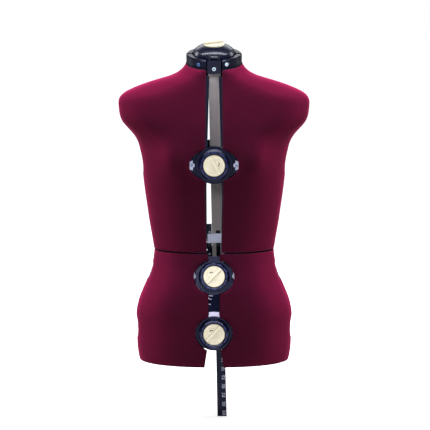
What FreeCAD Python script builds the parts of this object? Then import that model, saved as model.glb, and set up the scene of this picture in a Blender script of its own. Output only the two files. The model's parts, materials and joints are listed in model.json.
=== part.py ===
import FreeCAD, Part
import math
import os
import Sketcher
from FreeCAD import Placement, Rotation, Vector

# An adjustable dress form: eight covered shells in quadrants around a pole, spread by geared dials.
# Frame: +Z up, the front faces -Y, millimetres. Everything is laid out about the torso's centre
# line; at the end it is moved so that the foot of the pole is the origin.

# Torso outline: level name, height, half width, front depth, back depth, squareness of the section.
TORSO_LEVELS = (
    ("hem", 132.5, 166.0, 115.0, 124.0, 2.3),
    ("thigh", 160.0, 169.5, 117.5, 128.0, 2.3),
    ("seat", 243.0, 171.5, 119.5, 133.0, 2.3),
    ("flank", 306.0, 149.5, 110.0, 114.0, 2.25),
    ("belt", 372.0, 133.0, 94.0, 97.0, 2.2),
    ("rib", 440.0, 142.0, 101.0, 99.0, 2.3),
    ("underbust", 519.0, 152.7, 112.0, 105.0, 2.35),
    ("bust", 578.0, 159.0, 117.5, 108.0, 2.4),
    ("armpit", 609.0, 164.0, 115.0, 108.0, 2.5),
    ("armhole", 633.0, 177.0, 110.0, 105.0, 2.7),
    ("cap", 660.0, 200.0, 102.0, 100.0, 3.0),
    ("shoulder", 690.0, 207.0, 91.0, 93.0, 3.1),
    ("tip", 710.0, 205.5, 83.0, 87.0, 3.0),
    ("slope", 729.0, 178.0, 76.0, 81.0, 2.6),
    ("yoke", 747.0, 128.0, 70.0, 75.0, 2.3),
    ("root", 764.0, 81.0, 66.0, 69.0, 2.1),
    ("throat", 781.0, 64.5, 62.5, 63.5, 2.0),
    ("collar", 806.0, 60.0, 60.0, 60.0, 2.0),
)

# The other driving dimensions, in millimetres, degrees or counts.
SIZES = (
    # shells and covers
    ("bodice_low", 379.4), ("bodice_high", 806.0), ("hip_low", 132.5), ("hip_high", 376.5),
    ("cover_thickness", 2.0), ("glue_gap", 0.3), ("shell_thickness", 3.0), ("slide_gap", 0.5),
    ("section_points", 32.0), ("section_step", 30.0), ("section_margin", 12.0),
    ("breast_height", 578.0), ("breast_side", 88.0), ("breast_rise", 15.0),
    ("breast_width", 34.0), ("breast_length", 46.0),
    # gaps between the quadrants, from the centre plane to each edge
    ("front_gap_neck", 17.3), ("front_gap_rib", 20.0), ("front_gap_seam", 16.3),
    ("shell_gap_neck", 10.0), ("shell_gap_rib", 17.0), ("shell_gap_seam", 15.0),
    ("tab_clear_level", 757.0),
    ("hip_gap", 12.4), ("hip_gap_thigh", 15.0), ("hip_gap_hem", 20.5),
    ("hip_thigh_height", 170.0), ("hip_flare_height", 232.0),
    ("back_gap_neck", 10.0), ("back_gap_rib", 17.0), ("back_gap_seam", 16.0), ("rib_height", 500.0),
    ("bodice_side_gap", 8.0), ("hip_side_gap", 11.0),
    # dial levels
    ("bust_dial_level", 570.0), ("waist_dial_level", 329.0), ("hip_dial_level", 207.0),
    # dial seats, measured outward from a plane behind the cover
    ("unit_depth", 30.0), ("bore_radius", 5.05), ("sleeve_radius", 9.0), ("sleeve_low", 17.0),
    ("disc_low", 20.5), ("disc_high", 23.5), ("disc_edge", 0.8), ("skirt_radius", 34.0),
    ("skirt_high", 27.0), ("ring_radius", 29.5), ("ring_high", 35.0), ("ring_edge", 1.2),
    ("well_radius", 23.7), ("well_floor", 23.0), ("bust_disc_radius", 40.8), ("hip_disc_radius", 37.6),
    ("keep_out_gap", 1.2), ("ring_notch", 1.0), ("ring_notch_width", 2.4), ("ring_notch_count", 12.0),
    # dial cut-outs in the shells
    ("bust_cut_width", 53.0), ("bust_cut_height", 36.0), ("waist_cut_width", 44.0),
    ("waist_cut_height", 38.0), ("hip_cut_width", 41.0), ("hip_cut_height", 38.5),
    # dials and pinions
    ("shaft_radius", 5.0), ("knob_radius", 23.1), ("knob_low", 24.0), ("knob_high", 34.0),
    ("knob_edge", 0.9), ("grip_width", 6.2), ("grip_high", 37.5), ("grip_length", 43.0),
    ("grip_offset", 1.2), ("lobe_radius", 8.7), ("lobe_offset", 7.5), ("lobe_high", 35.4),
    ("key_slot_radius", 5.3), ("key_slot_width", 2.0), ("key_slot_depth", 2.4), ("key_slot_sweep", 115.0),
    ("pinion_low", 6.0), ("pinion_high", 12.0), ("pinion_root", 6.85), ("tooth_count", 16.0),
    ("tooth_foot", 6.2), ("tooth_foot_half", 0.7), ("tooth_base", 7.52), ("tooth_base_half", 0.76),
    ("tooth_middle", 8.25), ("tooth_middle_half", 0.62), ("tooth_tip", 8.9), ("tooth_tip_half", 0.3),
    ("bust_grip_angle", -62.0), ("lower_grip_angle", 46.0), ("other_grip_angle", 20.0),
    # racks and cheeks, on the quadrant at local +X
    ("rack_far", 29.0), ("rack_near", 58.0), ("rack_low", 6.1), ("rack_high", 11.9),
    ("rack_root", 9.15), ("rack_back", 14.2), ("rack_tip", 7.1), ("rack_pitch", 3.14159),
    ("rack_first", 4.7124), ("rack_root_half", 1.129), ("rack_tip_half", 0.382), ("rack_teeth", 11.0),
    ("cheek_start", 15.0), ("cheek_half", 34.0), ("cheek_low", 13.0), ("cheek_high", 16.0),
    ("block_half", 15.0), ("block_low", 4.0), ("bust_block_start", 42.2), ("hip_block_start", 39.0),
    # carriers that join a waist seat to the hip seat below it
    ("carrier_width", 23.6), ("carrier_low", 19.0), ("carrier_high", 25.0), ("carrier_rise", 45.5),
    ("carrier_well", 29.0),
    # neck: a tilted frame above the shells
    ("neck_level", 786.0), ("neck_tilt", 14.0), ("collar_low", 0.4), ("collar_high", 19.0),
    ("collar_radius", 60.5), ("collar_bore", 48.4), ("collar_lip", 2.5), ("collar_side_gap", 4.0),
    ("dome_radius", 45.6), ("dome_low", 12.0), ("dome_base", 19.0), ("dome_rise", 23.0),
    ("dome_wall", 3.0), ("dome_boss_radius", 27.0), ("dome_boss_low", 31.0), ("dome_recess_floor", 36.0),
    ("dome_recess_radius", 23.7), ("neck_dial_low", 37.0), ("neck_dial_high", 41.8),
    ("neck_lobe_high", 43.2), ("neck_grip_high", 45.0), ("neck_dial_end", 14.0), ("neck_grip_angle", 24.0),
    ("core_radius", 40.0), ("core_low", 5.0), ("core_high", 11.0),
    ("tab_half", 14.5), ("tab_thickness", 3.2), ("tab_reach", 60.5), ("tab_low", -10.0),
    ("tab_high", 18.6), ("tab_root", 40.4), ("bridge_low", 6.0), ("bridge_high", 11.4),
    ("tab_rivet_radius", 4.0), ("tab_rivet_bore", 1.6), ("tab_rivet_height", 1.6), ("tab_rivet_level", 0.8),
    # pole and channel, in a frame that hangs from the neck
    ("pole_lean", 1.26), ("lean_pivot", 805.0), ("pole_half", 10.2), ("pole_front", 9.0),
    ("pole_wall", 1.6), ("pole_length", 520.0), ("pole_edge", 2.0), ("plug_flange", 2.0),
    ("plug_depth", 16.0), ("plug_gap", 0.1),
    ("mark_count", 14.0), ("mark_pitch", 20.0), ("mark_first", 4.0), ("mark_thickness", 0.2),
    ("mark_height", 1.2), ("mark_length", 7.0), ("mark_inset", 2.2),
    ("channel_half", 13.5), ("channel_front", 12.0), ("channel_wall", 1.5), ("channel_low", 300.0),
    ("channel_high", 775.0), ("channel_lip", 6.0), ("slot_half", 4.5), ("slot_low", 312.0),
    ("slot_high", 418.0), ("plug_low", 750.0), ("plug_high", 794.0), ("stem_half", 10.0),
    ("stem_front", 8.0),
    ("clip_half", 23.0), ("clip_thickness", 3.6), ("clip_low", 391.0), ("clip_high", 411.0),
    ("clip_gap", 0.4), ("clip_wing", 3.6), ("bracket_width", 10.5), ("bracket_depth", 18.0),
    ("bracket_low", 350.0), ("bracket_high", 431.0),
)

# The side seats and dials are smaller and lie deeper, so that they stay inside the torso's outline.
SIDE_SIZES = {
    "cut_width": 28.0, "cut_height": 27.5, "disc_radius": 31.0, "disc_low": 17.5, "disc_high": 20.0,
    "sleeve_low": 13.2, "skirt_radius": 28.0, "skirt_high": 22.0, "ring_radius": 25.5,
    "ring_high": 26.2, "well_radius": 20.6, "well_floor": 19.0, "knob_radius": 20.0,
    "knob_low": 19.8, "knob_high": 25.0, "grip_high": 26.5, "grip_length": 37.0, "lobe_high": 25.9,
    "carrier_width": 20.6, "carrier_low": 16.5, "carrier_high": 22.0, "carrier_well": 25.0,
}

PARTS_FOLDER = "parts"
QUARTER = 90.0
LEFT, RIGHT = -1, 1
FRONT, BACK = -1, 1
SIDE_NAME = {LEFT: "left", RIGHT: "right"}
FACE_NAME = {FRONT: "front", BACK: "back"}
# Turn of each dial seat about the torso's centre line, from the front.
SEAT_TURN = {"front": 0.0, "right": 90.0, "back": 180.0, "left": 270.0}
# Reach of tools that only have to pass right through, or past an edge.
FAR = 400.0
BEYOND = 20.0

doc = FreeCAD.newDocument("DressForm")
sheet = doc.addObject("Spreadsheet::Sheet", "Sizes")
parts = []
# Pairs of features; the second of each has to remove something from the first.
cuts = []


# ---------------------------------------------------------------- the sheet

def fill_sheet():
    """Writes every driving dimension to the sheet and gives its cell an alias."""
    rows = list(SIZES) + [("side_" + alias, figure) for alias, figure in SIDE_SIZES.items()]
    for name, *figures in TORSO_LEVELS:
        for kind, figure in zip(("level", "half", "front", "back", "square"), figures):
            rows.append((name + "_" + kind, figure))
    for number, (alias, figure) in enumerate(rows, start=1):
        sheet.set("A%d" % number, alias.replace("_", " "))
        sheet.set("B%d" % number, str(figure))
        sheet.setAlias("B%d" % number, alias)
    doc.recompute()


def size(alias):
    return float(sheet.get(alias))


def total(formula):
    """The value of a sum of aliases, such as "ring_high - ring_edge"."""
    result, sign = 0.0, 1.0
    for word in formula.split():
        if word in ("+", "-"):
            sign = 1.0 if word == "+" else -1.0
        else:
            result += sign * size(word)
            sign = 1.0
    return result


def linked(formula):
    """The same sum as an expression on the sheet."""
    return " ".join(word if word in ("+", "-") else "Sizes." + word for word in formula.split())


def keep(item, name):
    """Marks an object as a sub-part of its own; its label names its file."""
    item.Label = name
    parts.append(item)
    return item


# ---------------------------------------------------------------- torso outline

def smooth(name, height):
    """One figure of the torso outline at a height, by a monotone cubic through the levels."""
    levels = [size(row[0] + "_level") for row in TORSO_LEVELS]
    values = [size(row[0] + "_" + name) for row in TORSO_LEVELS]
    if height <= levels[0]:
        return values[0]
    if height >= levels[-1]:
        return values[-1]
    spans = [b - a for a, b in zip(levels, levels[1:])]
    slopes = [(b - a) / span for a, b, span in zip(values, values[1:], spans)]
    tangents = [slopes[0]]
    for k in range(1, len(slopes)):
        left, right = slopes[k - 1], slopes[k]
        if left * right <= 0:
            tangents.append(0.0)
        else:
            wide, narrow = 2 * spans[k] + spans[k - 1], spans[k] + 2 * spans[k - 1]
            tangents.append((wide + narrow) / (wide / left + narrow / right))
    tangents.append(slopes[-1])
    k = max(i for i, level in enumerate(levels[:-1]) if level <= height)
    u = (height - levels[k]) / spans[k]
    start = (1 + 2 * u) * (1 - u) ** 2 * values[k] + u * (1 - u) ** 2 * spans[k] * tangents[k]
    end = u * u * (3 - 2 * u) * values[k + 1] + u * u * (u - 1) * spans[k] * tangents[k + 1]
    return start + end


def steepness(name, height):
    return (smooth(name, height + 1.0) - smooth(name, height - 1.0)) / 2.0


def semi_axis(name, height, inset):
    """A semi-axis of the section, moved in by a thickness measured square to the surface."""
    slope = min(abs(steepness(name, height)), 2.6)
    return smooth(name, height) - inset * math.hypot(1.0, slope)


def breast(x, height):
    """How far the chest stands out in front of the plain section."""
    across = (abs(x) - size("breast_side")) / size("breast_width")
    along = (height - size("breast_height")) / size("breast_length")
    return size("breast_rise") * math.exp(-across ** 2 - along ** 2)


def section(height, inset):
    """A closed curve around the torso, with its start inside the side gap."""
    half = semi_axis("half", height, inset)
    front = semi_axis("front", height, inset)
    back = semi_axis("back", height, inset)
    power = 2.0 / smooth("square", height)
    count = int(size("section_points"))
    points = []
    for k in range(count):
        turn = 2 * math.pi * k / count
        c, s = math.cos(turn), math.sin(turn)
        x = half * math.copysign(abs(c) ** power, c)
        if s > 0:
            y = back * abs(s) ** power
        else:
            y = -front * abs(s) ** power - breast(x, height) * min(1.0, abs(s) * 1.6)
        points.append(Vector(x, y, height))
    curve = Part.BSplineCurve()
    curve.interpolate(Points=points, PeriodicFlag=True)
    return Part.Wire([curve.toShape()])


def torso_solid(low, high, inset):
    """The torso to a margin beyond two heights, as a solid through its sections."""
    levels = [size(row[0] + "_level") for row in TORSO_LEVELS]
    low, high = low - size("section_margin"), high + size("section_margin")
    marks = [low] + [level for level in levels if low + 4 < level < high - 4] + [high]
    heights = []
    for a, b in zip(marks, marks[1:]):
        pieces = max(1, round((b - a) / size("section_step")))
        heights += [a + (b - a) * k / pieces for k in range(pieces)]
    heights.append(high)
    return Part.makeLoft([section(height, inset) for height in heights], True, False)


# ---------------------------------------------------------------- dial seats

def reach(turn, height):
    """Distance from the centre line out to the cover, towards a seat."""
    name = {0.0: "front", 180.0: "back"}.get(turn, "half")
    return smooth(name, height)


def seat_placement(turn, height):
    """Local +Z points out of the cover, +Y up it; the origin lies unit_depth behind the cover."""
    rise = (reach(turn, height + 8.0) - reach(turn, height - 8.0)) / 16.0
    tilt = math.degrees(math.atan(-rise))
    around = Placement(Vector(), Rotation(Vector(0, 0, 1), turn))
    out = Placement(Vector(0, -reach(turn, height), height), Rotation(Vector(1, 0, 0), QUARTER - tilt))
    return around * out * Placement(Vector(0, 0, -size("unit_depth")), Rotation())


def seats():
    """Every dial seat: its row, its side, its placement and the sizes that differ between seats."""
    found = []
    for row in ("bust", "waist", "hip"):
        for side, turn in SEAT_TURN.items():
            at_side = side in ("left", "right")
            row_disc = "bust_disc_radius" if row == "bust" else "hip_disc_radius"
            found.append({
                "row": row, "side": side, "place": seat_placement(turn, size(row + "_dial_level")),
                "at_side": at_side,
                "disc": "side_disc_radius" if at_side else row_disc,
                "wide": "side_cut_width" if at_side else row + "_cut_width",
                "tall": "side_cut_height" if at_side else row + "_cut_height",
                "block": "bust_block_start" if row == "bust" and not at_side else "hip_block_start",
            })
    return found


def fitted(seat, formula):
    """The formula with a side seat's own sizes in place of the general ones."""
    if not seat["at_side"]:
        return formula
    return " ".join("side_" + word if word in SIDE_SIZES else word for word in formula.split())


def cut_out(seat):
    """What a seat removes from shell and cover: an oval window and room for its disc."""
    oval = Part.Ellipse(Vector(), size(seat["wide"]), size(seat["tall"]))
    window = Part.Face(Part.Wire([oval.toShape()])).extrude(Vector(0, 0, 2 * size("unit_depth")))
    gap = size("keep_out_gap")
    room = Part.makeCylinder(size(seat["disc"]) + gap, size(fitted(seat, "disc_high")) + gap / 2)
    tool = window.fuse(room)
    tool.Placement = seat["place"]
    return tool


# ---------------------------------------------------------------- shells and covers

def half_space(low, high):
    """A wide slab between two heights."""
    return Part.makeBox(2 * FAR, 2 * FAR, high - low, Vector(-FAR, -FAR, low))


def side_gap(part_name, low, high):
    """A slab between the front and the back quadrants."""
    half = size(part_name + "_side_gap")
    return Part.makeBox(2 * FAR, 2 * half, high - low, Vector(-FAR, -half, low))


def gap_prism(face, edges):
    """A prism through the front or back of the torso; edges are (half width, height) pairs."""
    outline = [Vector(half, 0, height) for half, height in edges]
    outline += [Vector(-half, 0, height) for half, height in reversed(edges)]
    return Part.Face(Part.makePolygon(outline + [outline[0]])).extrude(Vector(0, face * FAR, 0))


def bodice_cutters(layer):
    """The gaps around the bodice quadrants; in front the shell reaches past its cover, below the tab."""
    low, high, rib = size("bodice_low") - BEYOND, size("bodice_high") + BEYOND, size("rib_height")
    front = [(size("front_gap_seam"), low), (size("front_gap_rib"), rib), (size("front_gap_neck"), high)]
    if layer == "shell":
        clear, neck = size("tab_clear_level"), size("front_gap_neck")
        front = [(size("shell_gap_seam"), low), (size("shell_gap_rib"), rib),
                 (size("shell_gap_neck"), clear), (neck, clear), (neck, high)]
    back = [(size("back_gap_seam"), low), (size("back_gap_rib"), rib), (size("back_gap_neck"), high)]
    above = half_space(0, FAR)
    above.Placement = neck_frame()
    return [gap_prism(FRONT, front), gap_prism(BACK, back), side_gap("bodice", low, high), above]


def hip_cutters():
    """The gaps around the hip quadrants, which open out towards the hem."""
    low, high = size("hip_low"), size("hip_high") + BEYOND
    thigh, flare = size("hip_thigh_height"), size("hip_flare_height")
    slope = (size("hip_gap_hem") - size("hip_gap_thigh")) / (thigh - low)
    edges = [(size("hip_gap_hem") + BEYOND * slope, low - BEYOND), (size("hip_gap_thigh"), thigh),
             (size("hip_gap"), flare), (size("hip_gap"), high)]
    return [gap_prism(FRONT, edges), gap_prism(BACK, edges), side_gap("hip", low - BEYOND, high)]


def quadrant(shape, side, face):
    """The solid of a cut ring that fills a quadrant."""
    inside = [solid for solid in shape.Solids
              if solid.CenterOfMass.x * side > 0 and solid.CenterOfMass.y * face > 0]
    return max(inside, key=lambda solid: solid.BoundBox.DiagonalLength)


def make_layers(part_name, low, high, cutters, rows):
    """Shell and cover of one half of the torso, each in four quadrants, and the space inside.

    Every solid has its sections at the same heights, so that the layers stay parallel.
    """
    cover = size("cover_thickness")
    skin = cover + size("glue_gap")
    wall = skin + size("shell_thickness")
    ends = [half_space(low - FAR, low), half_space(high, high + FAR)]
    windows = [cut_out(seat) for seat in seats() if seat["row"] in rows]
    for layer, outside, inside in (("cover", 0.0, cover), ("shell", skin, wall)):
        ring = torso_solid(low, high, outside).cut(torso_solid(low, high, inside))
        pieces = ring.cut(ends + windows + cutters[layer])
        for side, side_name in SIDE_NAME.items():
            for face, face_name in FACE_NAME.items():
                name = "%s_%s_%s_%s" % (part_name, face_name, side_name, layer)
                item = doc.addObject("Part::Feature", name)
                item.Shape = quadrant(pieces, side, face)
                keep(item, name)
    hollow = doc.addObject("Part::Feature", part_name + "_hollow")
    hollow.Shape = torso_solid(low, high, wall + size("slide_gap"))
    return hollow


# ---------------------------------------------------------------- sketched features

def origin_plane(body, role):
    return next(item for item in body.Origin.OriginFeatures if item.Role == role)


def polygon_sketch(body, name, role, corners, lift=""):
    """A closed outline whose corners are bound to the sheet; an empty formula lies on the axis."""
    sketch = body.newObject("Sketcher::SketchObject", name)
    sketch.AttachmentSupport = [(origin_plane(body, role), "")]
    sketch.MapMode = "FlatFace"
    if lift:
        sketch.setExpression("AttachmentOffset.Base.z", linked(lift))
    points = [Vector(total(x), total(y), 0) for x, y in corners]
    count = len(points)
    for k in range(count):
        sketch.addGeometry(Part.LineSegment(points[k], points[(k + 1) % count]), False)
    for k in range(count):
        sketch.addConstraint(Sketcher.Constraint("Coincident", k, 2, (k + 1) % count, 1))
    for k, (x, y) in enumerate(corners):
        for kind, axis, formula, figure in (("DistanceX", -2, x, points[k].x),
                                            ("DistanceY", -1, y, points[k].y)):
            if formula:
                number = sketch.addConstraint(Sketcher.Constraint(kind, -1, 1, k, 1, figure))
                sketch.setExpression("Constraints[%d]" % number, linked(formula))
            else:
                sketch.addConstraint(Sketcher.Constraint("PointOnObject", k, 1, axis))
    return sketch


def rectangle(left, right, low, high):
    return [(left, low), (right, low), (right, high), (left, high)]


def pad(body, name, sketch, length):
    feature = body.newObject("PartDesign::Pad", name)
    feature.Profile = sketch
    feature.setExpression("Length", linked(length))
    return feature


def revolve(body, name, sketch):
    feature = body.newObject("PartDesign::Revolution", name)
    feature.Profile = sketch
    feature.ReferenceAxis = (sketch, ["V_Axis"])
    feature.Angle = 360.0
    return feature


def polar(body, name, feature, sketch, count):
    pattern = body.newObject("PartDesign::PolarPattern", name)
    pattern.Originals = [feature]
    pattern.Axis = (sketch, ["N_Axis"])
    pattern.Angle = 360.0
    pattern.setExpression("Occurrences", linked(count))
    body.Tip = pattern
    return pattern


# ---------------------------------------------------------------- Part primitives

def box(name, sizes, place, corner):
    """A box whose sides and local corner are bound to the sheet; place is its frame."""
    item = doc.addObject("Part::Box", name)
    for side, formula in zip(("Length", "Width", "Height"), sizes):
        item.setExpression(side, linked(formula))
    item.Placement = place * Placement(Vector(*[total(formula) for formula in corner]), Rotation())
    return item


def cylinder(name, radius, tall, place, lift=""):
    item = doc.addObject("Part::Cylinder", name)
    item.setExpression("Radius", linked(radius))
    item.setExpression("Height", linked(tall))
    item.Placement = place * Placement(Vector(0, 0, total(lift)), Rotation())
    return item


def cut(name, base, tool):
    item = doc.addObject("Part::Cut", name)
    item.Base = base
    item.Tool = tool
    return item


def common(name, base, tool):
    item = doc.addObject("Part::Common", name)
    item.Base = base
    item.Tool = tool
    return item


def fuse(name, shapes):
    item = doc.addObject("Part::MultiFuse", name)
    item.Shapes = shapes
    return item


# ---------------------------------------------------------------- dial seats and carriers

def seat_body(name, seat):
    """A round seat: bearing sleeve, disc behind the shells, skirt and raised ring."""
    body = doc.addObject("PartDesign::Body", name)
    disc = seat["disc"]
    corners = [
        ("bore_radius", "sleeve_low"), ("sleeve_radius", "sleeve_low"), ("sleeve_radius", "disc_low"),
        (disc, "disc_low"), (disc, "disc_high - disc_edge"), (disc + " - disc_edge", "disc_high"),
        ("skirt_radius", "disc_high"), ("ring_radius", "skirt_high"),
        ("ring_radius", "ring_high - ring_edge"), ("ring_radius - ring_edge", "ring_high"),
        ("well_radius + ring_edge", "ring_high"), ("well_radius", "ring_high - ring_edge"),
        ("well_radius", "well_floor"), ("bore_radius", "well_floor"),
    ]
    corners = [(fitted(seat, x), fitted(seat, z)) for x, z in corners]
    turned = revolve(body, name + "_turned", polygon_sketch(body, name + "_profile", "XZ_Plane", corners))
    inner, outer = fitted(seat, "well_radius - ring_notch"), fitted(seat, "ring_radius + ring_notch")
    notch = polygon_sketch(body, name + "_notch_outline", "XY_Plane",
                           rectangle(inner, outer, "", "ring_notch_width"), fitted(seat, "ring_high"))
    pocket = body.newObject("PartDesign::Pocket", name + "_notch")
    pocket.Profile = notch
    pocket.setExpression("Length", linked("ring_notch"))
    body.Tip = pocket
    cuts.append((turned, polar(body, name + "_notches", pocket, notch, "ring_notch_count")))
    body.Placement = seat["place"]
    return body


def carrier(side, waist, hip):
    """Waist and hip seats joined by a straight bar, with a strap up to the waist seam."""
    name = "lower_%s_carrier" % side
    upper = seat_body(name + "_waist_seat", waist)
    lower = seat_body(name + "_hip_seat", hip)
    wide, inner, outer = (fitted(waist, word) for word in ("carrier_width", "carrier_low", "carrier_high"))
    thick = outer + " - " + inner
    middle = (size(inner) + size(outer)) / 2
    start = waist["place"].multVec(Vector(0, 0, middle))
    end = hip["place"].multVec(Vector(0, 0, middle))
    along = end.sub(start)
    across = waist["place"].Rotation.multVec(Vector(1, 0, 0))
    turn = Rotation(across, along.cross(across), along, "ZXY")
    bar = doc.addObject("Part::Box", name + "_bar")
    bar.setExpression("Length", linked(wide))
    bar.setExpression("Width", linked(thick))
    bar.Height = along.Length
    corner = Vector(-size(wide) / 2, -total(thick) / 2, 0)
    bar.Placement = Placement(start, turn) * Placement(corner, Rotation())
    strap = box(name + "_strap", (wide, "carrier_rise", thick),
                waist["place"] * Placement(Vector(-size(wide) / 2, 0, 0), Rotation()), ("", "", inner))
    wells = [cylinder("%s_well_%d" % (name, k), fitted(waist, "carrier_well"), "ring_high + ring_high",
                      seat["place"]) for k, seat in enumerate((waist, hip))]
    joined = fuse(name + "_bars", [bar, strap])
    opened = cut(name + "_bars_open", joined, fuse(name + "_wells", wells))
    return keep(fuse(name, [upper, lower, opened]), name)


# ---------------------------------------------------------------- dials

def pinion_body(name, turned, place):
    """A turned knob and shaft with a pinion of straight-sided teeth at its inner end."""
    body = doc.addObject("PartDesign::Body", name)
    revolve(body, name + "_turned", polygon_sketch(body, name + "_profile", "XZ_Plane", turned))
    half = [("tooth_foot", "tooth_foot_half"), ("tooth_base", "tooth_base_half"),
            ("tooth_middle", "tooth_middle_half"), ("tooth_tip", "tooth_tip_half")]
    other = [(x, "- " + y) for x, y in reversed(half)]
    outline = polygon_sketch(body, name + "_tooth_outline", "XY_Plane", half + other, "pinion_low")
    tooth = pad(body, name + "_tooth", outline, "pinion_high - pinion_low")
    polar(body, name + "_teeth", tooth, outline, "tooth_count")
    body.Placement = place
    return body


def grip(name, base, place, angle, length, levels):
    """Adds a grip bar and a rounded lobe to a knob, and cuts a curved key slot in the lobe.

    levels holds formulas for the underside, the knob's face, the lobe's top and the bar's top.
    """
    low, face, lobe_top, bar_top = levels
    turned = place * Placement(Vector(), Rotation(Vector(0, 0, 1), size(angle)))
    bar = box(name + "_bar", (length, "grip_width", bar_top + " - " + low),
              turned * Placement(Vector(-size(length) / 2, 0, 0), Rotation()), ("", "- grip_offset", low))
    lobe_place = turned * Placement(Vector(0, size("lobe_offset"), 0), Rotation())
    lobe = cylinder(name + "_lobe", "lobe_radius", "%s - %s + knob_edge" % (lobe_top, face), lobe_place,
                    face + " - knob_edge")
    depth, floor = "key_slot_depth + key_slot_depth", lobe_top + " - key_slot_depth"
    sector = cylinder(name + "_slot_outside", "key_slot_radius", depth, lobe_place, floor)
    sector.setExpression("Angle", linked("key_slot_sweep"))
    middle = cylinder(name + "_slot_inside", "key_slot_radius - key_slot_width", depth, lobe_place, floor)
    raised = fuse(name + "_raised", [base, bar, lobe])
    return keep(cut(name, raised, cut(name + "_slot", sector, middle)), name)


def dial(seat):
    name = "%s_%s_dial" % (seat["row"], seat["side"])
    corners = [
        ("", "pinion_low"), ("pinion_root", "pinion_low"), ("pinion_root", "pinion_high"),
        ("shaft_radius", "pinion_high"), ("shaft_radius", "knob_low"), ("knob_radius", "knob_low"),
        ("knob_radius", "knob_high - knob_edge"), ("knob_radius - knob_edge", "knob_high"),
        ("", "knob_high"),
    ]
    corners = [(fitted(seat, x), fitted(seat, z)) for x, z in corners]
    angle = "other_grip_angle"
    if seat["side"] == "front":
        angle = "bust_grip_angle" if seat["row"] == "bust" else "lower_grip_angle"
    body = pinion_body(name + "_knob", corners, seat["place"])
    levels = [fitted(seat, word) for word in ("knob_low", "knob_high", "lobe_high", "grip_high")]
    return grip(name, body, seat["place"], angle, fitted(seat, "grip_length"), levels)


# ---------------------------------------------------------------- racks

def slide_body(name, seat, place):
    """Rack, cheek behind the window and end block of the quadrant at the seat's local +X."""
    body = doc.addObject("PartDesign::Body", name)
    bar = polygon_sketch(body, name + "_bar_outline", "XY_Plane",
                         rectangle("- rack_far", "rack_near", "- rack_back", "- rack_root"), "rack_low")
    pad(body, name + "_bar", bar, "rack_high - rack_low")
    outline = polygon_sketch(body, name + "_tooth_outline", "XY_Plane", [
        ("rack_first - rack_root_half", "- rack_root"), ("rack_first + rack_root_half", "- rack_root"),
        ("rack_first + rack_tip_half", "- rack_tip"), ("rack_first - rack_tip_half", "- rack_tip"),
    ], "rack_low")
    tooth = pad(body, name + "_tooth", outline, "rack_high - rack_low")
    teeth = body.newObject("PartDesign::LinearPattern", name + "_teeth")
    teeth.Originals = [tooth]
    teeth.Direction = (outline, ["H_Axis"])
    teeth.Reversed = True
    teeth.setExpression("Length", "Sizes.rack_pitch * (Sizes.rack_teeth - 1)")
    teeth.setExpression("Occurrences", linked("rack_teeth"))
    body.Tip = teeth
    cheek = polygon_sketch(body, name + "_cheek_outline", "XY_Plane",
                           rectangle("cheek_start", "rack_near", "- cheek_half", "cheek_half"), "cheek_low")
    pad(body, name + "_cheek", cheek, "cheek_high - cheek_low")
    block = polygon_sketch(body, name + "_block_outline", "XY_Plane",
                           rectangle(seat["block"], "rack_near", "- block_half", "block_half"), "block_low")
    pad(body, name + "_block", block, "unit_depth - block_low")
    body.Placement = place
    return body


def make_slides(part_name, rows, hollow):
    """The slides of each quadrant, trimmed to the space inside the shells."""
    groups = {}
    for seat in seats():
        if seat["row"] not in rows:
            continue
        for half_turn in (0.0, 180.0):
            place = seat["place"] * Placement(Vector(), Rotation(Vector(0, 0, 1), half_turn))
            middle = place.multVec(Vector(size("rack_near"), 0, 0))
            side = SIDE_NAME[RIGHT if middle.x > 0 else LEFT]
            face = FACE_NAME[BACK if middle.y > 0 else FRONT]
            name = "%s_%s_slide_%s_%s" % (seat["row"], seat["side"], face, side)
            trimmed = common(name, slide_body(name + "_blank", seat, place), hollow)
            groups.setdefault((face, side), []).append(trimmed)
    for (face, side), slides in groups.items():
        name = "%s_%s_%s_slides" % (part_name, face, side)
        group = doc.addObject("Part::Compound", name)
        group.Links = slides
        keep(group, name)


# ---------------------------------------------------------------- neck

def neck_frame():
    """Local +Z leans forward from the vertical, square to the collar."""
    return Placement(Vector(0, 0, size("neck_level")), Rotation(Vector(1, 0, 0), size("neck_tilt")))


def make_collar():
    """A ring with a chamfered lip, in four quadrants that ride on the bodice shells."""
    ring = doc.addObject("PartDesign::Body", "collar_ring")
    corners = [("collar_bore", "collar_low"), ("collar_radius", "collar_low"),
               ("collar_radius", "collar_high - collar_lip"), ("collar_radius - collar_lip", "collar_high"),
               ("collar_bore", "collar_high")]
    revolve(ring, "collar_turned", polygon_sketch(ring, "collar_profile", "XZ_Plane", corners))
    ring.Placement = neck_frame()
    for face, face_name in FACE_NAME.items():
        gap = face_name + "_gap_neck"
        for side, side_name in SIDE_NAME.items():
            name = "collar_%s_%s" % (face_name, side_name)
            x = gap if side == RIGHT else "- %s - collar_radius" % gap
            y = "collar_side_gap" if face == BACK else "- collar_side_gap - collar_radius"
            piece = box(name + "_sector", ("collar_radius", "collar_radius", "collar_high + collar_high"),
                        neck_frame(), (x, y, ""))
            keep(common(name, ring, piece), name)


def dome_half(name, inset):
    item = doc.addObject("Part::Ellipsoid", name)
    item.Angle1 = 0
    item.setExpression("Radius1", linked("dome_rise" + inset))
    item.setExpression("Radius2", linked("dome_radius" + inset))
    item.Placement = neck_frame() * Placement(Vector(0, 0, size("dome_base")), Rotation())
    return item


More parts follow.
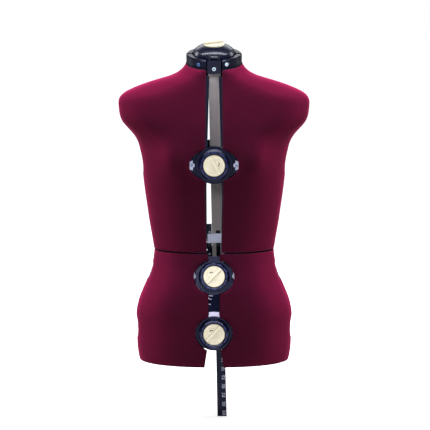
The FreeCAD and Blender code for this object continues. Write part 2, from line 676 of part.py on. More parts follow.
def make_neck_cap():
    """A domed cap with a rim and a boss that seats the neck dial."""
    frame = neck_frame()
    crown = cut("crown", dome_half("crown_outside", ""), dome_half("crown_inside", " - dome_wall"))
    rim = cut("rim", cylinder("rim_outside", "dome_radius", "dome_base - dome_low", frame, "dome_low"),
              cylinder("rim_inside", "dome_radius - dome_wall", "dome_base", frame, "dome_low"))
    boss = common("cap_boss", dome_half("boss_limit", ""),
                  cylinder("boss_round", "dome_boss_radius", "dome_rise", frame, "dome_boss_low"))
    recess = cylinder("dial_recess", "dome_recess_radius", "dome_rise", frame, "dome_recess_floor")
    bore = cylinder("dial_bore", "bore_radius", "dome_rise", frame, "dome_base")
    solid = fuse("cap_solid", [crown, rim, boss])
    keep(cut("neck_cap", solid, fuse("cap_openings", [recess, bore])), "neck_cap")


def make_neck_dial():
    name = "neck_dial"
    body = doc.addObject("PartDesign::Body", name + "_knob")
    corners = [("", "neck_dial_end"), ("shaft_radius", "neck_dial_end"), ("shaft_radius", "neck_dial_low"),
               ("knob_radius", "neck_dial_low"), ("knob_radius", "neck_dial_high - knob_edge"),
               ("knob_radius - knob_edge", "neck_dial_high"), ("", "neck_dial_high")]
    revolve(body, name + "_turned", polygon_sketch(body, name + "_profile", "XZ_Plane", corners))
    body.Placement = neck_frame()
    levels = ("neck_dial_low", "neck_dial_high", "neck_lobe_high", "neck_grip_high")
    grip(name, body, neck_frame(), "neck_grip_angle", "grip_length", levels)


def make_neck_core():
    """The plate under the cap, with a stem that plugs the channel."""
    plate = cylinder("core_plate", "core_radius", "core_high - core_low", neck_frame(), "core_low")
    stem = box("core_stem", ("stem_half + stem_half", "stem_front + stem_front", "plug_high - plug_low"),
               pole_frame(), ("- stem_half", "- stem_front", "plug_low"))
    keep(fuse("neck_core", [plate, stem]), "neck_core")


def make_front_tab():
    """The tab that closes the collar's front gap, with a bridge back to the core."""
    frame = neck_frame()
    width = "tab_half + tab_half"
    tab = box("tab_plate", (width, "tab_thickness", "tab_high - tab_low"), frame,
              ("- tab_half", "- tab_reach", "tab_low"))
    bridge = box("tab_bridge", (width, "tab_reach - tab_root", "bridge_high - bridge_low"), frame,
                 ("- tab_half", "- tab_reach", "bridge_low"))
    keep(fuse("front_tab", [tab, bridge]), "front_tab")
    out = Placement(Vector(0, -size("tab_reach"), size("tab_rivet_level")),
                    Rotation(Vector(1, 0, 0), QUARTER))
    head = cylinder("rivet_head", "tab_rivet_radius", "tab_rivet_height", frame * out)
    hole = cylinder("rivet_hole", "tab_rivet_bore", "tab_rivet_height + tab_rivet_height", frame * out)
    keep(cut("tab_rivet", head, hole), "tab_rivet")


# ---------------------------------------------------------------- pole and channel

def pole_frame():
    """Local +Z runs up the pole, which hangs a little out of plumb below the neck."""
    lean = size("pole_lean")
    foot = Vector(size("lean_pivot") * math.tan(math.radians(lean)), 0, 0)
    return Placement(foot, Rotation(Vector(0, 1, 0), -lean))


def pole_box(name, low, tall, inset=""):
    """An upright box on the pole's axis, smaller all round than the pole by the inset."""
    half, front, back = "pole_half" + inset, "pole_front" + inset, inset.replace("-", "+")
    return box(name, (half + " + " + half, front + " + " + front, tall), pole_frame(),
               ("- pole_half" + back, "- pole_front" + back, low))


def make_pole():
    """A square tube with an end plug, and a raised scale on its front face."""
    blank = pole_box("pole_blank", "plug_flange", "pole_length - plug_flange")
    doc.recompute()
    rounded = doc.addObject("Part::Fillet", "pole_rounded")
    rounded.Base = blank
    edge = size("pole_edge")
    upright = [k for k, line in enumerate(blank.Shape.Edges, start=1)
               if abs(line.Length - total("pole_length - plug_flange")) < 1e-3]
    rounded.Edges = [(k, edge, edge) for k in upright]
    keep(cut("pole", rounded, pole_box("pole_inside", "", "pole_length + plug_flange", " - pole_wall")),
         "pole")
    flange = pole_box("plug_plate", "", "plug_flange")
    spigot = pole_box("plug_spigot", "plug_flange - plug_gap", "plug_depth", " - pole_wall - plug_gap")
    keep(fuse("pole_plug", [flange, spigot]), "pole_plug")
    marks = []
    for k in range(int(size("mark_count"))):
        height = size("mark_first") + k * size("mark_pitch")
        place = pole_frame() * Placement(Vector(0, 0, height), Rotation())
        marks.append(box("mark_%d" % k, ("mark_length", "mark_thickness", "mark_height"), place,
                         ("pole_half - mark_inset - mark_length", "- pole_front - mark_thickness", "")))
    scale = doc.addObject("Part::Compound", "pole_scale")
    scale.Links = marks
    keep(scale, "pole_scale")


def make_channel():
    """A folded channel, open at the back, with a slot low in its front web."""
    body = doc.addObject("PartDesign::Body", "channel")
    h, d, w, lip = "channel_half", "channel_front", "channel_wall", "channel_lip"
    right = [(h, "- " + d), (h, d), (h + " - " + lip, d), (h + " - " + lip, d + " - " + w),
             (h + " - " + w, d + " - " + w), (h + " - " + w, "- " + d + " + " + w)]
    left = [("- " + x.replace(" - ", " + "), y) for x, y in reversed(right)]
    outline = polygon_sketch(body, "channel_outline", "XY_Plane", right + left, "channel_low")
    length = pad(body, "channel_length", outline, "channel_high - channel_low")
    window = polygon_sketch(body, "channel_slot_outline", "XZ_Plane",
                            rectangle("- slot_half", "slot_half", "slot_low", "slot_high"))
    slot = body.newObject("PartDesign::Pocket", "channel_slot")
    slot.Profile = window
    slot.Midplane = True
    slot.setExpression("Length", linked("channel_front + channel_front + channel_front"))
    cuts.append((length, slot))
    body.Placement = pole_frame()
    keep(body, "channel")


def make_length_slider():
    """The band in front of the channel and the bracket at its side, which carry the lower half."""
    frame = pole_frame()
    band = box("clip_band", ("clip_half + clip_half", "clip_thickness", "clip_high - clip_low"), frame,
               ("- clip_half", "- channel_front - clip_gap - clip_thickness", "clip_low"))
    wing = box("clip_wing", ("clip_wing", "channel_front + channel_front", "clip_high - clip_low"), frame,
               ("channel_half + clip_gap", "- channel_front - clip_gap", "clip_low"))
    keep(fuse("length_clip", [band, wing]), "length_clip")
    keep(box("length_bracket", ("bracket_width", "bracket_depth", "bracket_high - bracket_low"), frame,
             ("- channel_half - clip_gap - bracket_width", "- channel_front", "bracket_low")),
         "length_bracket")


# ---------------------------------------------------------------- document

def stand_on_pole():
    """Moves every sub-part so that the foot of the pole is the origin."""
    doc.recompute()
    shift = Placement(pole_frame().Base * -1, Rotation())
    for item in parts:
        item.Placement = shift * item.Placement


def check_and_export():
    """Stops on any failed object or bad shape, then writes one file for each sub-part."""
    doc.recompute()
    for item in doc.Objects:
        if "Invalid" in item.State or "Error" in item.State:
            raise RuntimeError("failed: " + item.Name)
    for before, after in cuts:
        if after.Shape.Volume >= before.Shape.Volume:
            raise RuntimeError("cut nothing: " + after.Name)
    for item in parts:
        if item.Shape.isNull() or not item.Shape.isValid() or not item.Shape.Solids:
            raise RuntimeError("bad shape: " + item.Label)
    os.makedirs(PARTS_FOLDER, exist_ok=True)
    for item in parts:
        item.Shape.exportStep(os.path.join(PARTS_FOLDER, item.Label + ".step"))


def build():
    fill_sheet()
    found = {(seat["row"], seat["side"]): seat for seat in seats()}
    bodice_gaps = {layer: bodice_cutters(layer) for layer in ("cover", "shell")}
    hip_gaps = {layer: hip_cutters() for layer in ("cover", "shell")}
    bodice = make_layers("bodice", size("bodice_low"), size("bodice_high"), bodice_gaps, ("bust",))
    hip = make_layers("hip", size("hip_low"), size("hip_high"), hip_gaps, ("waist", "hip"))
    for side in SEAT_TURN:
        name = "bust_%s_seat" % side
        keep(seat_body(name, found[("bust", side)]), name)
        carrier(side, found[("waist", side)], found[("hip", side)])
    for seat in found.values():
        dial(seat)
    doc.recompute()
    make_slides("bodice", ("bust",), bodice)
    make_slides("hip", ("waist", "hip"), hip)
    make_collar()
    make_neck_cap()
    make_neck_dial()
    make_neck_core()
    make_front_tab()
    make_pole()
    make_channel()
    make_length_slider()
    stand_on_pole()
    check_and_export()


build()
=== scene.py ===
"""An adjustable dress form: knit covers, moulded dials and seats, a brushed channel, a scaled pole."""
import heapq
import json
import math
import bmesh
import bpy
from mathutils import Matrix, Vector
from mathutils.bvhtree import BVHTree

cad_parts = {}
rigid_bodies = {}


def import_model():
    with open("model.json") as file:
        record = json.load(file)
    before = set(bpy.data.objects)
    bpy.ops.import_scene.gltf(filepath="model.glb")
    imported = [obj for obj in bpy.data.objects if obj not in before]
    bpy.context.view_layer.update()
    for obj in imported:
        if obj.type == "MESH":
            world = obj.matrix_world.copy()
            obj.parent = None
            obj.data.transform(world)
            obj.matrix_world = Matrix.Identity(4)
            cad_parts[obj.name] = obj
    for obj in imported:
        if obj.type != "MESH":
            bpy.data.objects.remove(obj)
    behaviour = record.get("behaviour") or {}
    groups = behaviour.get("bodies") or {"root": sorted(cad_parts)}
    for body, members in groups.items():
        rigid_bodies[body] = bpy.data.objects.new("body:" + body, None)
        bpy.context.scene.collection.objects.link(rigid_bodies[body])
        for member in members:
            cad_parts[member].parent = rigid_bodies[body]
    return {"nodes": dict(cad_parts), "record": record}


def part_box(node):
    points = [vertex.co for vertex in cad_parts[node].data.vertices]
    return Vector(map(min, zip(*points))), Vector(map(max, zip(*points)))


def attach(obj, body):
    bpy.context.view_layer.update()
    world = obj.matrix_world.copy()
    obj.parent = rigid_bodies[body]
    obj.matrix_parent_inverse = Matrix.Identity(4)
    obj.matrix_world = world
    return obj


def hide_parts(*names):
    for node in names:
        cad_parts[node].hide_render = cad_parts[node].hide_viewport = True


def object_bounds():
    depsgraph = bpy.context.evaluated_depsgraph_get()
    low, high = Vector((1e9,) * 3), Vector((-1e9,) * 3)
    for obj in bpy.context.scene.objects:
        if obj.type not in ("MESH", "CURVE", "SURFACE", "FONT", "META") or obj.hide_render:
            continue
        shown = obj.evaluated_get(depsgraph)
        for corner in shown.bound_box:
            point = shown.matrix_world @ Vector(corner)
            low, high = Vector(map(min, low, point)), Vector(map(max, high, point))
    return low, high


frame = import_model()
cad_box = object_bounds()
NODES = frame["nodes"]
BEHAVIOUR = frame["record"]["behaviour"]
BODY_OF = {node: body for body, members in BEHAVIOUR["bodies"].items() for node in members}
JOINTS = BEHAVIOUR["joints"]
MM = 0.001
FAR = 0.6  # further than any ray has to travel to or from the object
UP = Vector((0, 0, 1))
BACKWARD = Vector((0, 1, 0))


# ---------------------------------------------------------------- node helpers

def material(name):
    made = bpy.data.materials.new(name)
    made.use_nodes = True
    return made, made.node_tree, made.node_tree.nodes["Principled BSDF"]


def add(tree, kind, settings=None, **inputs):
    """A shader node; inputs go by name or, as i0, i1 and i2, by number, and take a value or a socket."""
    node = tree.nodes.new(kind)
    for key, value in (settings or {}).items():
        setattr(node, key, value)
    for key, value in inputs.items():
        numbered = key[0] == "i" and key[1:].isdigit()
        socket = node.inputs[int(key[1:]) if numbered else key.replace("_", " ")]
        if isinstance(value, bpy.types.NodeSocket):
            tree.links.new(value, socket)
        else:
            socket.default_value = value
    return node


def ramp(tree, factor, stops):
    """A colour ramp through (position, colour) stops."""
    node = tree.nodes.new("ShaderNodeValToRGB")
    tree.links.new(factor, node.inputs["Fac"])
    points = node.color_ramp.elements
    while len(points) < len(stops):
        points.new(1.0)
    for point, (place, colour) in zip(points, stops):
        point.position = place
        point.color = (*colour, 1.0)
    return node.outputs["Color"]


def math_node(tree, operation, a, b):
    return add(tree, "ShaderNodeMath", {"operation": operation}, i0=a, i1=b).outputs[0]


def linear(tree, value, scale, offset):
    """A value times a scale plus an offset."""
    settings = {"operation": "MULTIPLY_ADD"}
    return add(tree, "ShaderNodeMath", settings, i0=value, i1=scale, i2=offset).outputs[0]


def remapped(tree, value, source, target):
    """A value carried from one range of numbers to another, and held at its ends."""
    return add(tree, "ShaderNodeMapRange", None, Value=value, From_Min=source[0], From_Max=source[1],
               To_Min=target[0], To_Max=target[1]).outputs[0]


def scaled_colour(tree, colour, scale):
    return add(tree, "ShaderNodeVectorMath", {"operation": "SCALE"}, i0=colour, Scale=scale).outputs[0]


def height_of(tree, vector):
    """The Z of a vector socket."""
    return add(tree, "ShaderNodeSeparateXYZ", None, i0=vector).outputs["Z"]


def mix_colour(tree, factor, a, b, blend="MIX"):
    node = tree.nodes.new("ShaderNodeMix")
    node.data_type = "RGBA"
    node.blend_type = blend
    for socket, value in ((node.inputs[0], factor), (node.inputs[6], a), (node.inputs[7], b)):
        if isinstance(value, bpy.types.NodeSocket):
            tree.links.new(value, socket)
        elif isinstance(value, tuple):
            socket.default_value = (*value, 1.0)
        else:
            socket.default_value = value
    return node.outputs[2]


def noise(tree, where, scale, detail=4.0, roughness=0.55):
    return add(tree, "ShaderNodeTexNoise", None, Vector=where, Scale=scale, Detail=detail,
               Roughness=roughness).outputs["Fac"]


def stretched(tree, scale=(1, 1, 1)):
    """Object coordinates stretched by a scale for each axis."""
    where = tree.nodes.new("ShaderNodeTexCoord").outputs["Object"]
    return add(tree, "ShaderNodeMapping", None, Vector=where, Scale=scale).outputs[0]


def bump(tree, height, strength, distance, below=None):
    node = add(tree, "ShaderNodeBump", None, Height=height, Strength=strength, Distance=distance)
    if below is not None:
        tree.links.new(below, node.inputs["Normal"])
    return node.outputs[0]


def worn_edges(tree, width):
    """1 on sharp edges, fading to 0 on flat faces."""
    soft = add(tree, "ShaderNodeBevel", {"samples": 4}, Radius=width).outputs[0]
    flat = tree.nodes.new("ShaderNodeNewGeometry").outputs["Normal"]
    turn = add(tree, "ShaderNodeVectorMath", {"operation": "DOT_PRODUCT"}, i0=soft, i1=flat).outputs["Value"]
    return math_node(tree, "SUBTRACT", 1.0, turn)


# ---------------------------------------------------------------- materials

KNIT_PITCH = 1.3 * MM
WALES, COURSES = 0.32 / KNIT_PITCH, 0.45 / KNIT_PITCH
GRAIN = 2600.0


def knit():
    """Wine-coloured brushed jersey over foam, with painted sheen brightening its colour towards grazing
    angles and painted top light brightening it where it faces up.
    """
    made, tree, shader = material("wine_jersey")
    where = stretched(tree)
    facing = add(tree, "ShaderNodeLayerWeight", None, Blend=0.5).outputs["Facing"]
    blotch = noise(tree, where, 9.0, 3.0)
    fuzz = noise(tree, where, 900.0, 2.0)
    # painted sheen: the colour ramp brightens the knit towards grazing angles
    edge = math_node(tree, "ADD", facing, linear(tree, blotch, 0.10, -0.05))
    base = ramp(tree, edge, (
        (0.0, (0.024, 0.0014, 0.0072)), (0.07, (0.032, 0.0016, 0.0092)), (0.22, (0.066, 0.0028, 0.0165)),
        (0.55, (0.095, 0.0034, 0.0225)), (0.8, (0.17, 0.0056, 0.041)), (1.0, (0.30, 0.011, 0.085))))
    pile = ramp(tree, fuzz, ((0.25, (0.72, 0.72, 0.72)), (0.75, (1.28, 1.28, 1.28))))
    # painted top light: the colour is brighter where the surface faces up and darker where it faces down
    upward = height_of(tree, tree.nodes.new("ShaderNodeNewGeometry").outputs["Normal"])
    painted_top_light = remapped(tree, upward, (-0.45, 0.6), (0.58, 1.45))
    tree.links.new(mix_colour(tree, 1.0, scaled_colour(tree, base, painted_top_light), pile, "MULTIPLY"),
                   shader.inputs["Base Color"])
    shader.inputs["Roughness"].default_value = 0.92
    shader.inputs["Specular IOR Level"].default_value = 0.04
    shader.inputs["Sheen Weight"].default_value = 0.25
    shader.inputs["Sheen Roughness"].default_value = 0.3
    shader.inputs["Sheen Tint"].default_value = (0.9, 0.06, 0.24, 1.0)
    wales, courses = (
        add(tree, "ShaderNodeTexWave", {"bands_direction": way}, Vector=where, Scale=scale,
            Distortion=distortion, Detail=1.0, Detail_Scale=2.0).outputs["Fac"]
        for way, scale, distortion in (("X", WALES, 1.2), ("Z", COURSES, 1.6)))
    loops = math_node(tree, "ADD", wales, math_node(tree, "MULTIPLY", courses, 0.8))
    weave = bump(tree, loops, 0.22, 0.25 * MM)
    tree.links.new(bump(tree, blotch, 0.10, 1.5 * MM, weave), shader.inputs["Normal"])
    return made


def moulded(name, dark, light, roughness, coat=0.2, wear=(0.05, 0.055, 0.10), grained=True):
    """Injection-moulded plastic: cloudy gloss and rubbed edges, under a fine grain or a soft polish."""
    made, tree, shader = material(name)
    where = stretched(tree)
    cloud = noise(tree, where, 38.0, 4.0)
    body = ramp(tree, cloud, ((0.3, dark), (0.7, light)))
    rubbed = math_node(tree, "MINIMUM", math_node(tree, "MULTIPLY", worn_edges(tree, 0.7 * MM), 2.2), 1.0)
    scuffed = math_node(tree, "MULTIPLY", rubbed, ramp(tree, noise(tree, where, 220.0), (
        (0.4, (0, 0, 0)), (0.62, (1, 1, 1)))))
    tree.links.new(mix_colour(tree, scuffed, body, wear), shader.inputs["Base Color"])
    shine = linear(tree, cloud, 0.16, roughness - 0.08)
    tree.links.new(math_node(tree, "ADD", shine, math_node(tree, "MULTIPLY", scuffed, 0.2)),
                   shader.inputs["Roughness"])
    shader.inputs["Specular IOR Level"].default_value = 0.14
    shader.inputs["Specular Tint"].default_value = (0.42, 0.50, 1.0, 1.0)
    shader.inputs["Coat Weight"].default_value = coat
    shader.inputs["Coat Roughness"].default_value = 0.12 if grained else 0.26
    shader.inputs["Coat Tint"].default_value = (0.8, 0.85, 1.0, 1.0)
    if grained:
        tree.links.new(bump(tree, noise(tree, where, GRAIN, 2.0), 0.06, 0.1 * MM), shader.inputs["Normal"])
    return made


def cream():
    """Cream moulded knob, a little translucent, with painted shade darkening its corners."""
    made, tree, shader = material("cream_moulding")
    where = stretched(tree)
    cloud = noise(tree, where, 60.0, 3.0)
    base = ramp(tree, cloud, ((0.3, (0.47, 0.43, 0.32)), (0.7, (0.55, 0.51, 0.40))))
    # painted shade: ambient occlusion darkens the cream in corners and recesses
    open_sky = add(tree, "ShaderNodeAmbientOcclusion", {"samples": 8}, Distance=2.5 * MM).outputs["AO"]
    painted_corner_shade = ramp(tree, open_sky, ((0.35, (0.30, 0.26, 0.20)), (0.85, (1, 1, 1))))
    tree.links.new(mix_colour(tree, 0.75, base, mix_colour(tree, 1.0, base, painted_corner_shade, "MULTIPLY")),
                   shader.inputs["Base Color"])
    shader.inputs["Roughness"].default_value = 0.38
    shader.inputs["Subsurface Weight"].default_value = 0.12
    shader.inputs["Subsurface Radius"].default_value = (0.9, 0.7, 0.4)
    shader.inputs["Subsurface Scale"].default_value = 1.5 * MM
    tree.links.new(bump(tree, noise(tree, where, 1800.0, 2.0), 0.05, 0.1 * MM), shader.inputs["Normal"])
    return made


def brushed(name, dark, light, along=(900.0, 900.0, 5.0), roughness=0.36, metal=0.25, painted_shade_heights=None):
    """Metal brushed along its length, faintly stained; painted shade darkens it downward between two given
    heights.
    """
    made, tree, shader = material(name)
    lines = noise(tree, stretched(tree, along), 1.0, 3.0, 0.7)
    stain = noise(tree, stretched(tree), 22.0, 4.0)
    streak = ramp(tree, math_node(tree, "ADD", math_node(tree, "MULTIPLY", lines, 0.7),
                                  math_node(tree, "MULTIPLY", stain, 0.3)), ((0.3, dark), (0.7, light)))
    # painted shade: the colour darkens towards the bottom, between two heights
    if painted_shade_heights:
        height = height_of(tree, tree.nodes.new("ShaderNodeTexCoord").outputs["Object"])
        streak = scaled_colour(tree, streak, remapped(tree, height, painted_shade_heights, (0.42, 1.0)))
    tree.links.new(streak, shader.inputs["Base Color"])
    shader.inputs["Metallic"].default_value = metal
    tree.links.new(linear(tree, lines, 0.2, roughness - 0.1), shader.inputs["Roughness"])
    shader.inputs["Anisotropic"].default_value = 0.5
    tree.links.new(bump(tree, lines, 0.12, 0.06 * MM), shader.inputs["Normal"])
    return made


def ink(name, colour):
    """Printed ink, worn thin in places."""
    made, tree, shader = material(name)
    worn = noise(tree, stretched(tree), 700.0, 3.0)
    tree.links.new(ramp(tree, worn, ((0.3, tuple(c * 0.6 for c in colour)), (0.6, colour))),
                   shader.inputs["Base Color"])
    shader.inputs["Roughness"].default_value = 0.5
    return made


EVEN = (300.0, 300.0, 300.0)
GLOSS_DARK, GLOSS_LIGHT = (0.0010, 0.0012, 0.0080), (0.0024, 0.0028, 0.0150)
GREY_WEAR, LILAC_WEAR = (0.6, 0.62, 0.7), (0.8, 0.78, 0.85)

JERSEY = knit()
BLACK = moulded("black_gloss_moulding", GLOSS_DARK, GLOSS_LIGHT, 0.24)
COLLAR_BLACK = moulded("black_satin_moulding", (0.0010, 0.0011, 0.0050), (0.0022, 0.0025, 0.0095), 0.30,
                       coat=0.07)
CAP_BLACK = moulded("black_polished_moulding", GLOSS_DARK, GLOSS_LIGHT, 0.34, coat=0.9, grained=False)
SHELL = moulded("shell_moulding", (0.002, 0.002, 0.004), (0.005, 0.005, 0.008), 0.5, coat=0.0)
CREAM = cream()
GREY = moulded("grey_moulding", (0.66, 0.70, 0.94), (0.76, 0.80, 1.0), 0.45, coat=0.1, wear=GREY_WEAR)
# the channel's colour carries painted shade, darker towards the bottom
STEEL = brushed("brushed_channel", (0.52, 0.46, 0.49), (0.74, 0.68, 0.72), metal=0.1, painted_shade_heights=(0.50, 0.72))
ZINC = brushed("plated_rivet", (0.30, 0.42, 0.52), (0.55, 0.66, 0.76), EVEN, 0.25)
PAINT = moulded("pole_paint", (0.0015, 0.0015, 0.0040), (0.0035, 0.0035, 0.0090), 0.22, coat=0.1)
PRINT = ink("scale_print", (0.45, 0.46, 0.62))
# light navy for the dial rings' beads, its brightness partly painted highlight
NAVY_PAINTED_HIGHLIGHT = moulded("navy_painted_highlight_moulding", (0.018, 0.026, 0.110), (0.032, 0.044, 0.170), 0.24, coat=0.6)
PALE = moulded("pale_grey_moulding", (0.22, 0.23, 0.31), (0.36, 0.37, 0.46), 0.5, wear=GREY_WEAR)
# light lilac for the piece that is a painted reflection above the hip dial
LILAC_PAINTED_REFLECTION = moulded("lilac_painted_reflection", (0.50, 0.46, 0.62), (0.62, 0.58, 0.74), 0.5, wear=LILAC_WEAR)
BLUED = brushed("blued_rivet", (0.02, 0.05, 0.16), (0.05, 0.12, 0.34), EVEN, 0.22)

SLOT_MATERIAL = {
    "cover_fabric": JERSEY, "shell_plastic": SHELL, "slide_plastic": BLACK, "black_plastic": BLACK,
    "cream_plastic": CREAM, "grey_plastic": GREY, "channel_steel": STEEL, "rivet_steel": ZINC,
    "pole_paint": PAINT, "scale_print": PRINT,
}
UNROUNDED_SLOTS = ("cover_fabric", "shell_plastic", "scale_print")


def dress(obj, made):
    obj.data.materials.clear()
    obj.data.materials.append(made)


def round_edges(obj, width, angle, segments=2, harden=False):
    """Rounds the edges that are sharper than an angle in degrees."""
    rounding = obj.modifiers.new("rounded_edges", "BEVEL")
    rounding.width = width
    rounding.segments = segments
    rounding.limit_method = "ANGLE"
    rounding.angle_limit = math.radians(angle)
    rounding.harden_normals = harden


def node_material(name, slot_name):
    """A CAD node's material: its slot's, but for the satin collar and the polished cap."""
    if name.startswith("collar_"):
        return COLLAR_BLACK
    if name == "neck_cap":
        return CAP_BLACK
    return SLOT_MATERIAL[slot_name]


def dress_frame():
    """Every CAD node takes its material, and the hard pieces slightly rounded edges."""
    for row in frame["record"]["subparts"]:
        name, slot_name = row["node"], row["material_slot"]
        dress(NODES[name], node_material(name, slot_name))
        if slot_name not in UNROUNDED_SLOTS and name != "neck_cap":
            round_edges(NODES[name], 0.35 * MM, 35, harden=True)


# ---------------------------------------------------------------- covers

COVERS = sorted(name for name in NODES if name.endswith("_cover"))
CENTRE = Vector((sum(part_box(name)[k].x for name in COVERS for k in (0, 1)) / (2 * len(COVERS)), 0, 0))
EDGE = 0.25 * MM  # how far inside the cover's lower and upper ends its first and last rows lie
COLUMNS = 44
ROW_STEP = 5.0 * MM
FAN_ROWS = 44
FAN_START = 0.62  # share of a bodice cover's height above which its rows fan up over the shoulder
FAN_REACH = 0.995  # share of the way up to the collar's edge that the last fanned row goes
LEAST_FACING = 0.04  # cosine below which a ray only grazes the cover's turned edge
INSIDE_TURN = math.radians(48)
OUTER_TURNS = (math.radians(1), math.radians(89.5))
INSIDE_LIFT, STEEPEST_LIFT = math.radians(45), math.radians(80)
TOP_TURNS = (math.radians(22), math.radians(56))
LONGEST_JUMP, SHORTEST_STEP = 0.035, 0.002  # of a row's end in radians, and between row values

KNIT_THICKNESS = 1.7 * MM
PUFF = 1.6 * MM
PUFF_REACH = 11.0 * MM
EDGE_SINK = 0.55  # share of the puff by which the edges lie below the CAD cover
DRIFT_IN, DRIFT_OUT = 0.2 * PUFF, 0.5 * PUFF
CLOTH_STEPS = 14


class Cover:
    """The outer face of one CAD cover, found by rays cast towards the torso's centre line."""

    def __init__(self, node):
        self.tree = BVHTree.FromObject(NODES[node], bpy.context.evaluated_depsgraph_get())
        self.low, self.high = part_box(node)
        self.side = 1 if self.low.x + self.high.x > 2 * CENTRE.x else -1
        self.face = 1 if self.low.y + self.high.y > 0 else -1
        self.fans = node.startswith("bodice")
        self.turn_height = self.low.z + FAN_START * (self.high.z - self.low.z)
        if self.fans:
            self.tops = [self.measured_top(turn) for turn in TOP_TURNS]

    def hit(self, turn, height, lift):
        """The cover's point towards a turn about the centre line and a lift above the horizon."""
        way = Vector((self.side * math.cos(turn) * math.cos(lift),
                      self.face * math.sin(turn) * math.cos(lift), math.sin(lift)))
        start = CENTRE + Vector((0, 0, height)) + way * FAR
        place, normal, _, _ = self.tree.ray_cast(start, -way, FAR)
        return None if place is None or normal.dot(way) < LEAST_FACING else place

    def measured_top(self, turn):
        """The lift at which the cover ends under the collar, towards a turn well inside it."""
        return bisect(INSIDE_LIFT, STEEPEST_LIFT,
                      lambda lift: self.hit(turn, self.turn_height, lift) is not None)

    def top_lift(self, turn):
        """The lift of the collar's edge, carried on in a straight line past the cover's sides."""
        share = (turn - TOP_TURNS[0]) / (TOP_TURNS[1] - TOP_TURNS[0])
        return self.tops[0] + (self.tops[1] - self.tops[0]) * share

    def sample(self, turn, row):
        """The point at a turn; rows 0..1 climb level by level, rows 1..2 fan up over the shoulder."""
        if self.fans and row > 1.0:
            return self.hit(turn, self.turn_height, (row - 1.0) * self.top_lift(turn) * FAN_REACH)
        low = self.low.z + EDGE
        top = self.turn_height if self.fans else self.high.z - EDGE
        return self.hit(turn, low + (top - low) * min(row, 1.0), 0.0)

    def limits(self, row):
        """The turns between which the cover exists in a row."""
        return [bisect(INSIDE_TURN, outer, lambda turn: self.sample(turn, row) is not None)
                for outer in OUTER_TURNS]

    def rows(self):
        """Row values and their limits, closer together where a dial's window bends the edge."""
        top = self.turn_height if self.fans else self.high.z
        count = int((top - self.low.z) / ROW_STEP)
        values = [k / count for k in range(count + 1)]
        if self.fans:
            values += [1.0 + k / FAN_ROWS for k in range(1, FAN_ROWS + 1)]
        edges = {value: self.limits(value) for value in values}
        for _ in range(3):
            for a, b in zip(values, values[1:]):
                jump = max(abs(p - q) for p, q in zip(edges[a], edges[b]))
                if jump > LONGEST_JUMP and b - a > SHORTEST_STEP:
                    edges[(a + b) / 2] = self.limits((a + b) / 2)
            values = sorted(edges)
        return [(value, edges[value]) for value in values]

    def grid(self):
        """Rows of points over the cover; a missed ray takes its nearest neighbour's point."""
        lines = []
        for value, (start, end) in self.rows():
            line = [self.sample(start + (end - start) * k / COLUMNS, value) for k in range(COLUMNS + 1)]
            known = [k for k, point in enumerate(line) if point is not None]
            lines.append([line[min(known, key=lambda other: abs(other - k))].copy()
                          for k in range(COLUMNS + 1)])
        return lines


def bisect(inside, outside, holds, steps=15):
    """The last value from inside towards outside for which the test holds."""
    for _ in range(steps):
        half = (inside + outside) / 2
        if holds(half):
            inside = half
        else:
            outside = half
    return inside


def sheet_mesh(name, grid, flip):
    """A smooth sheet through rows of points; flip turns its faces over."""
    mesh = bpy.data.meshes.new(name)
    shape = bmesh.new()
    rows = [[shape.verts.new(point) for point in line] for line in grid]
    for lower, upper in zip(rows, rows[1:]):
        for k in range(len(lower) - 1):
            corners = [lower[k], lower[k + 1], upper[k + 1], upper[k]]
            shape.faces.new(corners[::-1] if flip else corners)
    bmesh.ops.remove_doubles(shape, verts=shape.verts, dist=0.05 * MM)
    shape.to_mesh(mesh)
    shape.free()
    mesh.shade_smooth()
    return mesh


def link(name, data):
    obj = bpy.data.objects.new(name, data)
    bpy.context.scene.collection.objects.link(obj)
    return obj


def border_depth(mesh):
    """Each vertex's distance from the sheet's border, by shortest edge path."""
    shape = bmesh.new()
    shape.from_mesh(mesh)
    shape.verts.ensure_lookup_table()
    depth = [math.inf] * len(shape.verts)
    queue = []
    for vert in shape.verts:
        if vert.is_boundary:
            depth[vert.index] = 0.0
            queue.append((0.0, vert.index))
    heapq.heapify(queue)
    while queue:
        here, index = heapq.heappop(queue)
        if here > depth[index] or here > 4 * PUFF_REACH:
            continue
        for edge in shape.verts[index].link_edges:
            other = edge.other_vert(shape.verts[index])
            there = here + edge.calc_length()
            if there < depth[other.index]:
                depth[other.index] = there
                heapq.heappush(queue, (there, other.index))
    shape.free()
    return depth


def relax_cloth(piece, depth):
    """A short cloth run: the knit, pinned at its turned edges, is pressed outward by the foam."""
    pins = piece.vertex_groups.new(name="turned_edge")
    for index, inward in enumerate(depth):
        pins.add([index], max(0.0, 1.0 - inward / PUFF_REACH), "REPLACE")
    cloth = piece.modifiers.new("knit_over_foam", "CLOTH")
    settings = cloth.settings
    settings.quality = 4
    settings.mass = 0.25
    settings.tension_stiffness = 18
    settings.compression_stiffness = 18
    settings.bending_stiffness = 4
    settings.vertex_group_mass = "turned_edge"
    settings.pin_stiffness = 2.0
    settings.use_pressure = True
    settings.uniform_pressure_force = 3.0
    settings.effector_weights.gravity = 0.0
    cloth.point_cache.frame_start = 1
    cloth.point_cache.frame_end = CLOTH_STEPS
    scene = bpy.context.scene
    for step in range(1, CLOTH_STEPS + 1):
        scene.frame_set(step)
    solved = piece.evaluated_get(bpy.context.evaluated_depsgraph_get())
    moved = [vert.co.copy() for vert in solved.data.vertices]
    piece.modifiers.remove(cloth)
    scene.frame_set(1)
    return moved


